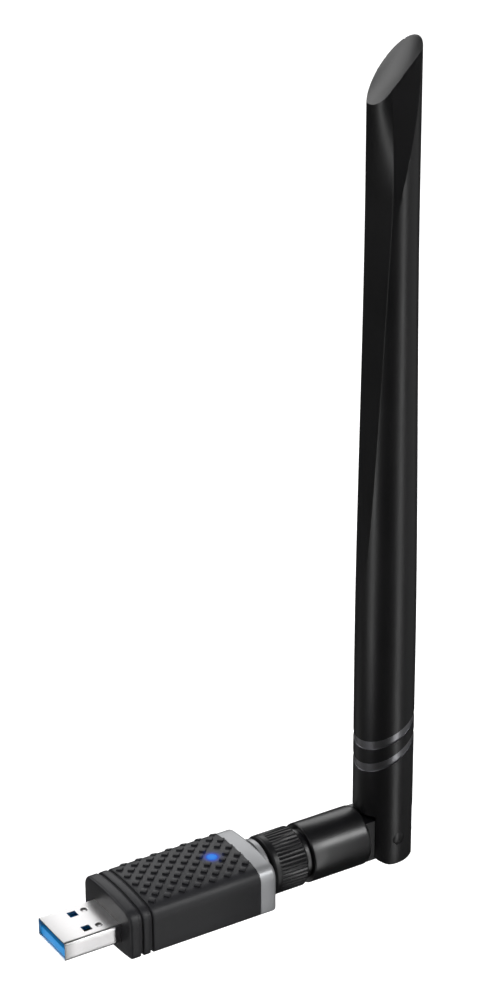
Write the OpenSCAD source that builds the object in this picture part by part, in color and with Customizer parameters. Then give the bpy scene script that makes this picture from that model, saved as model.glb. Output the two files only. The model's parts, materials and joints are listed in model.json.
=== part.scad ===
// USB wireless adapter with a swivelling, hinged stick antenna on a screwed
// coaxial connector. Origin at the centre of the plug where it leaves the case,
// +X from the plug towards the antenna, +Z up, antenna standing up at rest.

/* [USB plug] */
// Width of the plug's shell
shell_w = 12.0; // [11.6:0.1:12.4]
// Height of the plug's shell
shell_h = 4.5; // [4.2:0.1:4.8]
// Sheet thickness of the shell
shell_wall = 0.32; // [0.2:0.02:0.4]
// Length of the plug in front of the case
plug_len = 13.5; // [12:0.1:19]
// Length of the plug held inside the case
plug_root = 6.0; // [4:0.5:7]
// Length of each retention window along the plug
window_l = 2.0; // [1.2:0.05:2.5]
// Width of each retention window
window_w = 2.0; // [1.2:0.05:2.5]
// Distance from the shoulder to the windows' middle
window_x = 6.75; // [5:0.25:8]
// Distance between the two windows' middles across the plug
window_pitch = 6.1; // [5:0.1:7]
// Thickness of the blue tongue in the plug
tongue_t = 2.0; // [1.6:0.1:2.1]

/* [Case] */
// Length of the case in front of the collar
case_l = 32.2; // [28:0.2:60]
// Width of the case
case_w = 20.4; // [19:0.2:28]
// Height of the crown above the plug's axis
crown_top = 7.2; // [6.4:0.1:9]
// Depth of the belly below the plug's axis
belly = 5.3; // [4.8:0.1:7]
// Radius of the crown's and the belly's arcs across the case
crown_r = 56; // [40:2:120]
// Radius of the case's top corners
top_corner_r = 3.0; // [1.5:0.1:3.5]
// Radius of the case's bottom corners
low_corner_r = 0.8; // [0.4:0.1:1.5]
// Wall of the case
case_wall = 1.4; // [1:0.1:1.8]
// Depth of the two grooves round the front
groove_d = 0.55; // [0.3:0.05:0.8]
// Length of the front band before the first groove
band_l = 2.5; // [2:0.05:3]
// Length of the second band, between the grooves
band2_l = 1.65; // [1.2:0.05:2.5]
// Width of each groove
groove_w = 0.7; // [0.4:0.05:1]
// Length of the collar behind the case
collar_l = 4.1; // [3:0.1:6]
// Radius of the collar's round boss
boss_r = 6.5; // [5.5:0.1:6.6]
// Length of the boss behind the collar
boss_l = 1.3; // [0.8:0.1:2]

/* [Board] */
// Width of the circuit board
board_w = 15.0; // [13:0.5:16]
// Thickness of the circuit board
board_t = 1.0; // [0.8:0.1:1.2]
// Length of the shield can
can_l = 12; // [10:0.5:14]
// Width of the shield can
can_w = 11; // [9:0.5:12]
// Height of the shield can
can_h = 2.0; // [1.6:0.1:2.4]
// Distance from the shoulder to the status lamp
led_x = 26.0; // [22:0.5:28]
// Radius of the lamp's window
led_window_r = 1.25; // [1:0.05:1.6]

/* [Connector] */
// Height of the connector's axis above the plug's axis
axis_z = 0.6; // [0:0.1:1.2]
// Outer radius of the jack's thread
thread_r = 3.15; // [3.15:0.05:3.2]
// Radial play of the nut on the thread
thread_play = 0.06; // [0.04:0.01:0.1]
// Radius of the jack's centre pin
pin_r = 0.46; // [0.4:0.02:0.5]
// Radius of the insulators
insulator_r = 2.05; // [1.9:0.05:2.1]
// Length of the ribbed nut
nut_l = 8.3; // [7.5:0.1:9]
// Outer radius of the ribbed nut
nut_r = 6.85; // [6.2:0.05:7.2]
// Gap between the collar's boss and the nut
nut_gap = 0.7; // [0.4:0.1:1.2]
// Count of the nut's ribs
rib_n = 44; // [24:4:48]
// Depth of the grooves between the nut's ribs
rib_d = 0.22; // [0.15:0.01:0.35]

/* [Swivel] */
// Outer radius of the swivel barrel
barrel_r = 6.82; // [6.4:0.02:7.2]
// Length of the swivel barrel
barrel_l = 15.0; // [13:0.1:18]
// Radius of the neck in front of the barrel
neck_r = 5.7; // [5.2:0.1:6]
// Length of the neck in front of the barrel
neck_l = 1.3; // [1:0.05:2]
// Running play of the swivel and of the hinge pins
swivel_play = 0.05; // [0.03:0.01:0.1]
// Distance from the barrel's end to the hinge
hinge_reach = 6.85; // [6.8:0.05:8]
// Thickness of the hinge tongue
knuckle_t = 8.8; // [7.6:0.1:8.8]
// Radius of the tongue's round end
knuckle_r = 5.0; // [4.5:0.1:5.4]
// Radius of each hinge pin
hinge_pin_r = 1.25; // [1:0.05:1.3]
// Radius of each hinge pin's head
hinge_head_r = 1.4; // [1.35:0.05:2]

/* [Antenna] */
// Radius of the rod at the fork
rod_r = 6.67; // [6.4:0.01:6.7]
// Radius of the rod near the tip
rod_tip_r = 5.58; // [5.2:0.01:6]
// Height of the tip's middle above the hinge
rod_l = 176.4; // [165:0.1:230]
// Angle of the slanted tip
tip_angle = 52; // [40:1:60]
// Width of the slot between the cheeks
slot_w = 9.2; // [9.0:0.05:9.4]
// Height of the slot above the hinge
slot_top = 6.1; // [5.8:0.1:7]
// Height of the lower slanted groove above the hinge
ring1_z = 21.7; // [18:0.1:24]
// Height of the upper slanted groove above the hinge
ring2_z = 26.85; // [25:0.1:32]
// Width of each slanted groove, measured up the rod
ring_w = 2.1; // [1.4:0.1:2.6]
// Depth of each slanted groove
ring_d = 0.3; // [0.15:0.05:0.5]
// Slant of the lower groove
ring1_angle = 29; // [15:0.5:35]
// Slant of the upper groove
ring2_angle = 25.5; // [15:0.5:35]
// Radius of the coaxial cable
coax_r = 0.9; // [0.65:0.05:1]

/* [Hidden] */

$fn = 96;
eps = 0.01;

// the case's cross-section, worked out from its crown, belly and corners
crown_c = crown_top - crown_r;
belly_c = -belly + crown_r;

// the board lies under the connector's axis, so the jack's pin rests on it
board_top = axis_z - pin_r;
board_x0 = plug_root + 0.3;
board_x1 = case_l - 1.2;
board_clear = 0.1;

// stations along the connector's axis
boss_end = case_l + collar_l + boss_l;
nut_x0 = boss_end + nut_gap;
nut_x1 = nut_x0 + nut_l;
mouth_x = nut_x1 - 2.0;
plane_x = mouth_x - 1.9;
lip_x0 = mouth_x + 0.75;
lip_x1 = nut_x1 - 0.25;
ring_x0 = mouth_x + 0.25;
ring_t = lip_x0 - ring_x0 - 0.08;
shoulder_x0 = lip_x1 + 0.08;
shoulder_t = 0.4;
neck_x0 = nut_x1 + 0.4;
barrel_x0 = neck_x0 + neck_l;
barrel_x1 = barrel_x0 + barrel_l;
hinge_x = barrel_x1 + hinge_reach;
thread_x0 = case_l + collar_l - 0.2;
ferrule_r = 3.3;
ferrule_x1 = neck_x0 + 7.4;
flange_r = 4.0;
flange_t = 0.7;
plug_tube_r = 2.28;
socket_r = 0.72;
socket_l = 4.2;
coax_x0 = ferrule_x1 + 0.1;

// the rod's round lower part ends where its long loft begins
loft_z0 = 42;
loft_l = 112;
loft_step = 3.6;
loft_inset = 0.02;
cheek_over = 0.03;
facet_z0 = 53;
facet_fade = 11;
facet_slope = 0.0406;
facet_edge_x = 6.9;
facet_far = 124;
front_z0 = 143;
front_len = 35;
front_cut = 4.0;
bulge_z0 = 150;
bulge = 1.0;
window_az = 11;
turn_rate = 2.25;
arc_n = 30;
facet_n = 10;
front_n = 8;

// inside of the rod
slot_roof = 5.0;
hollow_r = 4.0;
hollow_z1 = 90;
hollow_tip_r = 3.0;
hollow_z2 = 156;
dipole_r = 2.6;
dipole_z0 = 26;
dipole_z1 = 82;
wire_r = 0.6;
wire_z1 = 146;
bend_r = 2.4;

// turns a solid made along +Z so that it lies along +X, on the connector's axis
module along_axis(x) {
    translate([x, 0, axis_z]) rotate([0, 90, 0]) children();
}

// a tube or a rod along the connector's axis
module axis_rod(x0, x1, r) {
    along_axis(x0) cylinder(r = r, h = x1 - x0);
}

// a rectangle with four round corners, exact arcs
module round_rect(w, h, r) {
    square([w - 2 * r, h], center = true);
    square([w, h - 2 * r], center = true);
    for (y = [-1, 1], z = [-1, 1])
        translate([y * (w / 2 - r), z * (h / 2 - r)]) circle(r = r, $fn = 32);
}

// extrudes a cross-section drawn in Y and Z along X
module run_x(x0, x1) {
    translate([x0, 0, 0]) rotate([90, 0, 90]) linear_extrude(x1 - x0) children();
}

// upper or lower half of the case's outline, inset all round
module case_half(inset, arc_c, arc_r, corner_r, side) {
    hw = case_w / 2 - inset;
    r = corner_r;
    yf = hw - r;
    rise = sqrt(pow(arc_r - inset - r, 2) - yf * yf);
    zf = arc_c + side * rise;
    yt = yf * (arc_r - inset) / (arc_r - inset - r);
    mid = (crown_top - belly) / 2;
    intersection() {
        translate([0, arc_c]) circle(r = arc_r - inset, $fn = 180);
        translate([-yt, side > 0 ? mid : -belly - 1]) square([2 * yt, side > 0
            ? crown_top - mid + 1 : mid + belly + 1]);
    }
    for (y = [-1, 1]) translate([y * yf, zf]) circle(r = r, $fn = 48);
    translate([-hw, min(mid, zf)]) square([2 * hw, abs(zf - mid)]);
}

// the case's cushion-shaped outline, inset all round
module case_outline(inset = 0) {
    case_half(inset, crown_c, crown_r, max(0.3, top_corner_r - inset), 1);
    case_half(inset, belly_c, crown_r, max(0.3, low_corner_r - inset), -1);
}

// one pair of retention windows, cut right through both faces
module window_cut() {
    for (y = [-1, 1])
        translate([-window_x, y * window_pitch / 2, 0])
            cube([window_l, window_w, shell_h + 2], center = true);
}

module usb_shell() color([0.80, 0.80, 0.82]) {
    inner_w = shell_w - 2 * shell_wall;
    inner_h = shell_h - 2 * shell_wall;
    difference() {
        run_x(-plug_len, plug_root) round_rect(shell_w, shell_h, 0.6);
        run_x(-plug_len - 1, plug_root + 1) round_rect(inner_w, inner_h, 0.3);
        window_cut();
    }
}

// height of the tongue's contact face above the plug's axis
tongue_top = -shell_h / 2 + shell_wall + 0.02 + tongue_t;
tongue_w = shell_w - 2 * shell_wall - 0.1;

// the four long contacts' places across the plug, and the five rear ones'
usb2_y = [-3.5, -1.0, 1.0, 3.5];
usb3_y = [-4.0, -2.0, 0, 2.0, 4.0];
contact_t = 0.15;
contact_l = 8.0;
contact_x = -plug_len + 1.7;

module usb_tongue() color([0.10, 0.42, 0.75]) {
    x0 = -plug_len + 0.4;
    difference() {
        run_x(x0, plug_root) intersection() {
            round_rect(tongue_w, 2 * (tongue_t - tongue_top), 0.5);
            translate([-shell_w / 2, -shell_h]) square([shell_w, shell_h + tongue_top]);
        }
        for (y = usb2_y)
            translate([contact_x - 0.02, y - 0.5 - 0.02, tongue_top - contact_t])
                cube([contact_l + 0.04, 1.04, 1]);
        for (y = usb3_y)
            translate([-4.2, y - 0.3, tongue_top - 0.7])
                cube([plug_root + 5, 0.6, 0.45]);
    }
}

module usb2_contacts() color([0.85, 0.68, 0.32])
    for (y = usb2_y)
        translate([contact_x, y - 0.5, tongue_top - contact_t])
            cube([contact_l, 1.0, contact_t - eps]);

module usb3_contacts() color([0.85, 0.68, 0.32])
    for (y = usb3_y) {
        translate([-4.0, y - 0.25, tongue_top - 0.68])
            cube([board_x0 + 4.0 - 0.1, 0.5, 0.2]);
    }

module housing_sleeve() color([0.20, 0.20, 0.22]) {
    g1 = band_l;
    b2 = g1 + groove_w;
    g2 = b2 + band2_l;
    body = g2 + groove_w;
    difference() {
        union() {
            run_x(0, g1) case_outline();
            run_x(g1, b2) case_outline(groove_d);
            run_x(b2, g2) case_outline();
            run_x(g2, body) case_outline(groove_d);
            run_x(body, case_l) case_outline();
        }
        run_x(case_wall, case_l + 1) case_outline(case_wall);
        run_x(-1, case_wall + 1) round_rect(shell_w + 0.04, shell_h + 0.04, 0.62);
        translate([led_x, 0, 0]) cylinder(r = led_window_r, h = crown_top + 1, $fn = 48);
    }
}

module rear_collar() color([0.72, 0.73, 0.75]) {
    difference() {
        union() {
            run_x(case_l, case_l + collar_l) case_outline(0.02);
            axis_rod(case_l + collar_l, boss_end, boss_r);
            run_x(case_l - 1.8, case_l + 0.5) case_outline(case_wall + 0.03);
        }
        run_x(case_l - 3, case_l + 1.2) case_outline(case_wall + 1.2);
        axis_rod(case_l, boss_end + 1, thread_r + 0.02);
        board_slot();
    }
}

// room for the board's end inside the collar's rim
module board_slot() {
    x0 = case_l - 3;
    translate([x0, -board_w / 2 - board_clear, board_top - board_t - board_clear])
        cube([board_x1 + board_clear - x0, board_w + 2 * board_clear, board_t + 2 * board_clear]);
}

module circuit_board() color([0.05, 0.30, 0.16])
    translate([board_x0, -board_w / 2, board_top - board_t])
        cube([board_x1 - board_x0, board_w, board_t]);

// a flat chip or block standing on the board
module on_board(x, y, l, w, h, up = 0) {
    translate([x - l / 2, y - w / 2, board_top + up]) cube([l, w, h]);
}

can_x = board_x0 + 5.4 + can_l / 2;

module wifi_chip() color([0.12, 0.12, 0.13])
    on_board(can_x, 0, 6, 6, 0.9);

module shield_can() color([0.75, 0.76, 0.78])
    difference() {
        on_board(can_x, 0, can_l, can_w, can_h);
        on_board(can_x, 0, can_l - 0.4, can_w - 0.4, can_h - 0.2, -eps);
    }

module crystal() color([0.80, 0.80, 0.80]) on_board(led_x, 4.6, 3.2, 2.5, 0.8);

module voltage_regulator() color([0.12, 0.12, 0.13])
    on_board(board_x0 + 2.7, 3.9, 2.9, 1.6, 1.1);

module power_inductor() color([0.25, 0.25, 0.27])
    on_board(board_x0 + 2.7, -4.2, 3.0, 3.0, 1.5);

module board_capacitors() color([0.62, 0.50, 0.36]) {
    for (k = [0:2]) on_board(board_x0 + 2.7, -1.6 + k * 1.4, 1.0, 0.5, 0.5);
    for (k = [0:3]) on_board(led_x - 0.6 + k * 1.1, -4.6, 0.6, 1.0, 0.5);
}

module status_led() color([0.60, 0.80, 1.0]) on_board(led_x, 0, 1.6, 0.9, 0.7);

module led_window() color([0.15, 0.55, 0.95])
    intersection() {
        translate([led_x, 0, board_top + 0.9])
            cylinder(r = led_window_r, h = crown_top, $fn = 48);
        run_x(led_x - 3, led_x + 3) case_outline(0.03);
    }

module rf_jack_body() color([0.83, 0.66, 0.30])
    difference() {
        union() {
            axis_rod(thread_x0 - 3.3, mouth_x, thread_r);
            translate([case_l + 0.2, -3.6, axis_z - 3.6]) cube([1.0, 7.2, 7.2]);
        }
        axis_rod(plane_x, mouth_x + 1, plug_tube_r + 0.05);
        axis_rod(thread_x0 - 4, plane_x + 1, insulator_r);
        for (z = [-1, 1])
            translate([thread_x0 - 4, -4, axis_z + (z > 0 ? 2.0 : -5.0)])
                cube([2.0, 8, 3]);
    }

module rf_jack_insulator() color([0.93, 0.93, 0.90])
    difference() {
        axis_rod(thread_x0 - 3.3, plane_x, insulator_r);
        axis_rod(thread_x0 - 4, plane_x + 1, pin_r);
    }

module rf_jack_pin() color([0.85, 0.68, 0.32])
    axis_rod(thread_x0 - 6.2, mouth_x - 0.2, pin_r);

module connector_ferrule() color([0.83, 0.66, 0.30])
    difference() {
        union() {
            axis_rod(plane_x + 0.05, shoulder_x0 + shoulder_t, plug_tube_r);
            axis_rod(shoulder_x0, shoulder_x0 + shoulder_t, 4.4);
            axis_rod(shoulder_x0, ferrule_x1, ferrule_r);
            axis_rod(ferrule_x1 - flange_t, ferrule_x1, flange_r);
        }
        axis_rod(plane_x - 1, ferrule_x1 - 1.2, insulator_r);
        axis_rod(ferrule_x1 - 2, ferrule_x1 + 1, coax_r);
        ring_groove(ring_x0, ring_t + 0.04);
    }

// the snap ring's groove in the ferrule's tube
module ring_groove(x, t) {
    difference() {
        axis_rod(x, x + t, plug_tube_r + 1);
        axis_rod(x - 1, x + t + 1, plug_tube_r - 0.12);
    }
}

module plug_insulator() color([0.93, 0.93, 0.90])
    difference() {
        axis_rod(plane_x + 0.05, ferrule_x1 - 1.2, insulator_r);
        axis_rod(plane_x - 1, plane_x + socket_l, socket_r);
        axis_rod(plane_x, ferrule_x1, 0.3);
    }

module socket_contact() color([0.85, 0.68, 0.32])
    difference() {
        axis_rod(plane_x + 0.05, plane_x + socket_l, socket_r);
        axis_rod(plane_x - 1, plane_x + socket_l - 0.8, pin_r + 0.04);
    }

module retaining_ring() color([0.70, 0.70, 0.72])
    difference() {
        axis_rod(ring_x0, ring_x0 + ring_t, 2.9);
        axis_rod(ring_x0 - 1, ring_x0 + ring_t + 1, plug_tube_r - 0.1);
        translate([ring_x0 - 1, -0.6, axis_z]) cube([3, 1.2, 4]);
    }

nut_core_r = 4.6;

module coupling_nut() color([0.83, 0.66, 0.30])
    difference() {
        axis_rod(nut_x0 + 0.3, lip_x1, nut_core_r);
        axis_rod(nut_x0 - 1, lip_x0, thread_r + thread_play);
        axis_rod(nut_x0, nut_x1 + 1, plug_tube_r + 0.06);
    }

module grip_ring() color([0.07, 0.07, 0.08])
    difference() {
        axis_rod(nut_x0, nut_x1, nut_r);
        axis_rod(nut_x0 - 1, nut_x1 + 1, nut_core_r);
        for (k = [0:rib_n - 1])
            translate([nut_x0 + 1.5, 0, axis_z]) rotate([k * 360 / rib_n, 0, 0])
                translate([0, 0, nut_r + 0.12]) rotate([0, 90, 0])
                    cylinder(r = rib_d + 0.12, h = nut_l, $fn = 16);
    }

module swivel_barrel() color([0.08, 0.08, 0.09]) {
    chamfer = 1.0;
    difference() {
        union() {
            axis_rod(neck_x0, barrel_x0, neck_r);
            along_axis(barrel_x0) rotate_extrude()
                barrel_profile(chamfer);
            knuckle();
        }
        axis_rod(neck_x0 - 1, ferrule_x1, ferrule_r + swivel_play);
        axis_rod(ferrule_x1 - flange_t - 0.1, ferrule_x1 + 0.1, flange_r + swivel_play);
        axis_rod(ferrule_x1 - 1, hinge_x - bend_r, coax_r);
        coax_room();
        for (y = [-1, 1])
            translate([hinge_x, y * 3.2 - (y < 0 ? 2 : 0), axis_z])
                rotate([-90, 0, 0]) cylinder(r = hinge_pin_r + swivel_play, h = 2);
    }
}

// half outline of the barrel: a small bevel in front, a round edge behind
module barrel_profile(edge) {
    bevel = 0.35;
    polygon([[0, 0], [barrel_r - bevel, 0], [barrel_r, bevel],
        [barrel_r, barrel_l - edge], [barrel_r - edge, barrel_l - edge],
        [barrel_r - edge, barrel_l], [0, barrel_l]]);
    intersection() {
        translate([barrel_r - edge, barrel_l - edge]) circle(r = edge, $fn = 48);
        translate([barrel_r - edge, barrel_l - edge]) square(edge);
    }
}

// the tongue behind the barrel, round about the hinge
module knuckle() {
    translate([hinge_x, knuckle_t / 2, axis_z]) rotate([90, 0, 0])
        cylinder(r = knuckle_r, h = knuckle_t);
    translate([barrel_x1 - 1, -knuckle_t / 2, axis_z - knuckle_r])
        cube([hinge_reach + 1, knuckle_t, 2 * knuckle_r]);
}

// the slot in the tongue in which the cable bends
module coax_room() {
    half = coax_r + 0.5;
    translate([hinge_x - bend_r - 1.4, -half, axis_z - half])
        cube([knuckle_r + bend_r + 3, 2 * half, knuckle_r + half + 1]);
}

module coax_lower() color([0.55, 0.45, 0.30])
    axis_rod(coax_x0, hinge_x - bend_r - 1.4, coax_r);

// the cable's quarter bend between the barrel and the rod
module coax_bend() color([0.55, 0.45, 0.30]) {
    x0 = hinge_x - bend_r;
    axis_rod(x0 - 1.4, x0, coax_r);
    translate([x0, 0, axis_z + bend_r]) rotate([90, 0, 0])
        rotate([0, 0, -90]) rotate_extrude(angle = 90)
            translate([bend_r, 0]) circle(r = coax_r, $fn = 24);
    translate([hinge_x, 0, axis_z + bend_r])
        cylinder(r = coax_r, h = slot_top - bend_r, $fn = 24);
}

// rod-local frame: origin at the hinge, +Z up the rod
module at_hinge() {
    translate([hinge_x, 0, axis_z]) children();
}

function clamp01(t) = max(0, min(1, t));
function ease(t) = t * t * (3 - 2 * t);
function mix(a, b, t) = [a[0] + (b[0] - a[0]) * t, a[1] + (b[1] - a[1]) * t];

// the rod's radius at a height: full at the fork, easing down towards the tip
function rod_radius(z) =
    rod_r - (rod_r - rod_tip_r) * ease(clamp01((z - loft_z0) / loft_l));

// a point on a circle, its angle measured from -Y towards +X
function at_az(r, az) = [r * sin(az), -r * cos(az)];

// where the long flat's near edge lies: it climbs the rod at an even slope
function edge_x(z) =
    min(facet_edge_x - facet_slope * (z - facet_z0), rod_radius(z) * cos(window_az));
function edge_az(z) = -asin(edge_x(z) / rod_radius(z));
function far_az(z) = max(-facet_far, -180 - edge_az(z));
function front_t(z) = clamp01((z - front_z0) / front_len);
function edge_pt(z) =
    let (r = rod_radius(z), x = edge_x(z))
    [-x, -sqrt(r * r - x * x) + front_cut * pow(front_t(z), 2)];
function front_az(z) = max(edge_az(z) + 10, edge_az(front_z0) + (z - front_z0) * turn_rate);

// one ring of the loft: round back, long flat on the -X side, flattened front
function ring(z) =
    let (
        r = rod_radius(z),
        a0 = front_az(z),
        a1 = 360 + far_az(z),
        a2 = 360 + edge_az(z),
        left = at_az(r, far_az(z)),
        near = edge_pt(z),
        right = at_az(r, a0),
        facet_k = clamp01((z - facet_z0) / facet_fade),
        front_k = clamp01((z - front_z0) / 6),
        round_k = bulge * clamp01((z - bulge_z0) / 22),
        nrm = [near[1] - left[1], left[0] - near[0]] / norm(near - left)
    )
    concat(
        [for (i = [0:arc_n - 1]) at_az(r, a0 + (a1 - a0) * i / arc_n)],
        [for (i = [0:facet_n - 1])
            let (
                t = i / facet_n,
                arc_p = at_az(r, a1 + (a2 - a1) * t),
                flat_p = mix(left, near, t) + nrm * round_k * 4 * t * (1 - t)
            )
            mix(arc_p, flat_p, facet_k)],
        [for (i = [0:front_n - 1])
            let (
                t = i / front_n,
                arc_p = at_az(r, a2 - 360 + (a0 - a2 + 360) * t),
                flat_p = mix(near, right, t)
            )
            i == 0 ? mix(at_az(r, a2), near, max(facet_k, front_k)) : mix(arc_p, flat_p, front_k)]
    );

// the rod above its round part, lofted through rings
module rod_loft() {
    top = rod_l + rod_tip_r * tan(tip_angle) + 3;
    count = ceil((top - loft_z0) / loft_step);
    per = arc_n + facet_n + front_n;
    pts = [for (k = [0:count])
        let (z = loft_z0 - 0.2 + (top - loft_z0) * k / count, shrink = 1 - loft_inset / rod_r)
        each [for (p = ring(z)) [p[0] * shrink, p[1] * shrink, z]]];
    low_cap = [for (i = [0:per - 1]) i];
    top_cap = [for (i = [per - 1:-1:0]) count * per + i];
    sides = [for (k = [0:count - 1], i = [0:per - 1])
        let (j = (i + 1) % per, a = k * per, b = (k + 1) * per)
        each [[a + i, b + i, b + j], [a + i, b + j, a + j]]];
    polyhedron(points = pts, faces = concat([low_cap], [top_cap], sides));
}

// a slanted slice of the rod's skin, for one decorative groove
module slanted_ring(z, angle) {
    intersection() {
        translate([0, 0, z]) rotate([0, -angle, 0])
            translate([-10, -10, -ring_w * cos(angle) / 2])
                cube([20, 20, ring_w * cos(angle)]);
        difference() {
            translate([0, 0, z - 12]) cylinder(r = rod_r + 1, h = 24);
            translate([0, 0, z - 13]) cylinder(r = rod_r - ring_d, h = 26);
        }
    }
}

module antenna_sleeve() color([0.09, 0.09, 0.10])
    at_hinge() difference() {
        union() {
            intersection() {
                translate([0, 0, -rod_r - 1]) cylinder(r = rod_r, h = rod_r + 1 + loft_z0);
                union() {
                    translate([-10, -10, 0]) cube([20, 20, loft_z0 + 1]);
                    translate([0, -10, -rod_r - cheek_over])
                        cube([10, 20, rod_r + cheek_over + 1]);
                    rotate([90, 0, 0]) translate([0, 0, -10])
                        cylinder(r = rod_r + cheek_over, h = 20);
                }
            }
            difference() {
                rod_loft();
                translate([0, 0, rod_l]) rotate([0, -tip_angle, 0])
                    translate([-40, -20, 0]) cube([80, 40, 40]);
            }
        }
        translate([-10, -slot_w / 2, -10]) cube([20, slot_w, 10 + slot_top]);
        cylinder(r = coax_r, h = slot_top + slot_roof + 1, $fn = 32);
        translate([0, 0, slot_top + slot_roof])
            cylinder(r = hollow_r, h = hollow_z1 - slot_top - slot_roof);
        translate([0, 0, hollow_z1 - 1])
            cylinder(r = hollow_tip_r, h = hollow_z2 - hollow_z1 + 1);
        slanted_ring(ring1_z, ring1_angle);
        slanted_ring(ring2_z, ring2_angle);
        for (y = [-1, 1]) {
            rotate([y * 90, 0, 0]) cylinder(r = hinge_pin_r, h = rod_r + 1);
            rotate([y * 90, 0, 0]) translate([0, 0, rod_r - 0.9])
                cylinder(r = hinge_head_r, h = 3);
        }
    }

module hinge_pins() color([0.30, 0.30, 0.32])
    at_hinge() for (y = [-1, 1]) rotate([y * 90, 0, 0]) {
        translate([0, 0, 3.3]) cylinder(r = hinge_pin_r, h = rod_r - 0.9 - 3.3);
        translate([0, 0, rod_r - 0.9]) cylinder(r = hinge_head_r, h = 0.65);
    }

module coax_upper() color([0.55, 0.45, 0.30])
    at_hinge() translate([0, 0, slot_top]) cylinder(r = coax_r, h = dipole_z1 - slot_top);

module dipole_sleeve() color([0.80, 0.62, 0.30])
    at_hinge() difference() {
        translate([0, 0, dipole_z0]) cylinder(r = dipole_r, h = dipole_z1 - dipole_z0);
        translate([0, 0, dipole_z0 - 1])
            cylinder(r = dipole_r - 0.3, h = dipole_z1 - dipole_z0 - 1 + 0.4);
        cylinder(r = coax_r, h = dipole_z1 + 1);
    }

module radiator_wire() color([0.78, 0.50, 0.28])
    at_hinge() translate([0, 0, dipole_z1]) cylinder(r = wire_r, h = wire_z1 - dipole_z1);

// discs that centre the dipole in the rod's hollow
module radiator_spacers() color([0.90, 0.90, 0.88])
    at_hinge() {
        spacer(dipole_z0 + 4, hollow_r, dipole_r);
        spacer(dipole_z1 - 6, hollow_r, dipole_r);
        spacer(wire_z1 - 8, hollow_tip_r, wire_r);
    }

module spacer(z, outer, inner) {
    translate([0, 0, z]) difference() {
        cylinder(r = outer, h = 2);
        translate([0, 0, -1]) cylinder(r = inner, h = 4);
    }
}

usb_shell();
usb_tongue();
usb2_contacts();
usb3_contacts();
housing_sleeve();
rear_collar();
circuit_board();
wifi_chip();
shield_can();
crystal();
voltage_regulator();
power_inductor();
board_capacitors();
status_led();
led_window();
rf_jack_body();
rf_jack_insulator();
rf_jack_pin();
connector_ferrule();
plug_insulator();
socket_contact();
retaining_ring();
coupling_nut();
grip_ring();
swivel_barrel();
coax_lower();
antenna_sleeve();
hinge_pins();
coax_bend();
coax_upper();
dipole_sleeve();
radiator_wire();
radiator_spacers();
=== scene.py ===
import json
import math

import bmesh
import bpy
from mathutils import Matrix, Vector


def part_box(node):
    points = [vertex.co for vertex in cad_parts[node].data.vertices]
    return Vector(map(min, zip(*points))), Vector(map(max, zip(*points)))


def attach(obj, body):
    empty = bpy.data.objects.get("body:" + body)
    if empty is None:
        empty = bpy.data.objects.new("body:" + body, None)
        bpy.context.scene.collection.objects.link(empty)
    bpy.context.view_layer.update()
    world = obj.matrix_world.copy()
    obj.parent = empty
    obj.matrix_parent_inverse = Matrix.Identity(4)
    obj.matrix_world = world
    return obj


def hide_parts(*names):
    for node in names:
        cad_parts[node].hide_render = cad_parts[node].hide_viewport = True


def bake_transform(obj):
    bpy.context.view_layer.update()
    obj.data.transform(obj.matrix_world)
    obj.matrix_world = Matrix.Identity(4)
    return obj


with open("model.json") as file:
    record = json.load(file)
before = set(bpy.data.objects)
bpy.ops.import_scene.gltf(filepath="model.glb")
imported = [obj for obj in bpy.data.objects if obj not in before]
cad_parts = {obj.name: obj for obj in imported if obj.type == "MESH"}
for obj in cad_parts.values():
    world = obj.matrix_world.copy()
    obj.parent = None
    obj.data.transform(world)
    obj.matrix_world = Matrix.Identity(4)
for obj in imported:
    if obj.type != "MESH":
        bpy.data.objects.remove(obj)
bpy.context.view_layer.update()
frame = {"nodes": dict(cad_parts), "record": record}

MM = 0.001

# The view. A long lens looks down on the plug's side of the adapter, from in front
# and from the right of someone who holds the plug forward.
view_turn = math.radians(-31.04)
view_height = math.radians(26.87)
view_roll = math.radians(-0.343)
back = Vector((math.sin(view_turn) * math.cos(view_height),
               -math.cos(view_turn) * math.cos(view_height), math.sin(view_height)))
level = Vector((math.cos(view_turn), math.sin(view_turn), 0))
upright = back.cross(level)
eye = (28.615 * level + 89.630 * upright + 702.74 * back) * MM
side = math.cos(view_roll) * level + math.sin(view_roll) * upright
top = math.cos(view_roll) * upright - math.sin(view_roll) * level
camera = bpy.data.objects.new("camera", bpy.data.cameras.new("camera"))
bpy.context.scene.collection.objects.link(camera)
camera.matrix_world = Matrix.Translation(eye) @ Matrix((side, top, back)).transposed().to_4x4()
camera.data.lens = 118.45
camera.data.clip_start = 0.01
bpy.context.scene.camera = camera
bpy.context.scene.view_settings.view_transform = "Standard"

# The studio. A wide pale floor lies well below the adapter, which hangs in the air as it
# would from a port. A wide ceiling of light fills the room evenly, and soft boxes give
# the satin metal and the black plastic their highlights.
floor_drop = 0.5
bpy.ops.object.select_all(action="DESELECT")
bpy.ops.mesh.primitive_plane_add(size=60, location=(0, 0, -floor_drop))
studio_floor = bpy.context.object
studio_floor.name = "studio_floor"
floor_paint = bpy.data.materials.new("floor_paint")
floor_paint.use_nodes = True
floor_paint.node_tree.nodes["Principled BSDF"].inputs["Base Color"].default_value = (0.93, 0.93, 0.93, 1)
floor_paint.node_tree.nodes["Principled BSDF"].inputs["Roughness"].default_value = 0.9
floor_paint.node_tree.nodes["Principled BSDF"].inputs["Specular IOR Level"].default_value = 0.0
studio_floor.data.materials.append(floor_paint)
studio_floor.visible_glossy = False

room = bpy.data.worlds.new("room")
room.use_nodes = True
room.node_tree.nodes["Background"].inputs["Color"].default_value = (1, 1, 1, 1)
room.node_tree.nodes["Background"].inputs["Strength"].default_value = 0.02
bpy.context.scene.world = room


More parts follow.
